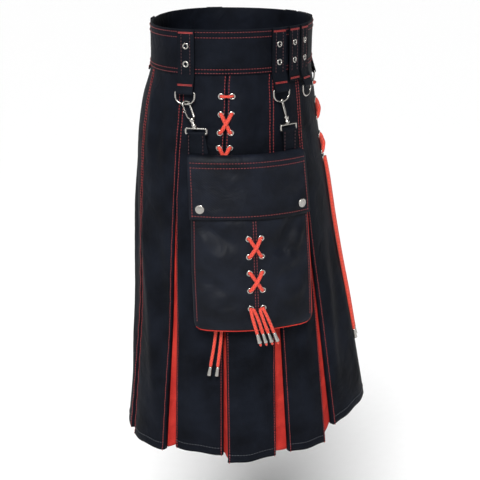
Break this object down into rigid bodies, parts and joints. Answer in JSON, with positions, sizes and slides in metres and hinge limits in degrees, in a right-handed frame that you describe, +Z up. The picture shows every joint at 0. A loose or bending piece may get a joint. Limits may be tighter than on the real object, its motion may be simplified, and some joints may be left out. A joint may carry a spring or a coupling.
{
  "type": "utility kilt",
  "caption": "Worn-shape utility kilt with pleats opening over red insets, belt loops with D-rings, a clipped-on hip pocket and laced trim.",
  "frame": {"origin": "centre of the waistband ring at half its height", "axes": "+Z up, -Y to the wearer's front, -X to the wearer's right"},
  "size_m": [0.3919, 0.3572, 0.609],
  "materials": {
    "black_twill": "matte cotton twill",
    "band_twill": "matte cotton twill, doubled",
    "strap_twill": "matte cotton twill strap",
    "pocket_twill": "matte cotton twill",
    "red_twill": "matte red cotton",
    "red_lace": "woven red cord",
    "nickel": "polished nickel plate"
  },
  "bodies": {
    "kilt": {"front_apron": "black_twill", "front_lace_bar": "red_lace", "front_lace_cross_1": "red_lace", "front_lace_cross_2": "red_lace", "front_lace_end_1": "red_lace", "front_lace_end_2": "red_lace", "hook_front": "nickel", "hook_rear": "nickel", "inset_back": "red_twill", "inset_l1": "red_twill", "inset_l2": "red_twill", "inset_l3": "red_twill", "inset_l4": "red_twill", "inset_l5": "red_twill", "inset_r1": "red_twill", "inset_r2": "red_twill", "inset_r3": "red_twill", "inset_r4": "red_twill", "inset_r5": "red_twill", "loop_back": "strap_twill", "loop_front_plain_l": "strap_twill", "loop_front_plain_r": "strap_twill", "loop_front_ring_l": "strap_twill", "loop_front_ring_r": "strap_twill", "loop_hip_front_l": "strap_twill", "loop_hip_front_r": "strap_twill", "loop_hip_rear_l": "strap_twill", "loop_hip_rear_r": "strap_twill", "panel_l1": "black_twill", "panel_l2": "black_twill", "panel_l3": "black_twill", "panel_l4": "black_twill", "panel_l5": "black_twill", "panel_r1": "black_twill", "panel_r2": "black_twill", "panel_r3": "black_twill", "panel_r4": "black_twill", "panel_r5": "black_twill", "pocket_back": "pocket_twill", "pocket_bag": "pocket_twill", "pocket_flap": "pocket_twill", "pocket_lace_cross_1": "red_lace", "pocket_lace_cross_2": "red_lace", "pocket_lace_end_1": "red_lace", "pocket_lace_end_2": "red_lace", "pocket_lace_end_3": "red_lace", "pocket_lace_end_4": "red_lace", "ring_hip_front_r": "nickel", "ring_hip_rear_r": "nickel", "side_lace_bar": "red_lace", "side_lace_cross_1": "red_lace", "side_lace_cross_2": "red_lace", "side_lace_end_1": "red_lace", "side_lace_end_2": "red_lace", "snap_front": "nickel", "snap_rear": "nickel", "waistband": "band_twill"},
    "front_ring_r": {"ring_front_ring_r": "nickel"},
    "front_ring_l": {"ring_front_ring_l": "nickel"}
  },
  "joints": [
    {"name": "front_ring_right_swing", "type": "hinge", "parent": "kilt", "child": "front_ring_r", "pos_m": [-0.06986, -0.11077, -0.053], "axis": [-0.9464, 0.3229, 0], "range_deg": [0, 165]},
    {"name": "front_ring_left_swing", "type": "hinge", "parent": "kilt", "child": "front_ring_l", "pos_m": [0.06986, -0.11077, -0.053], "axis": [-0.9464, -0.3229, 0], "range_deg": [0, 165]}
  ]
}
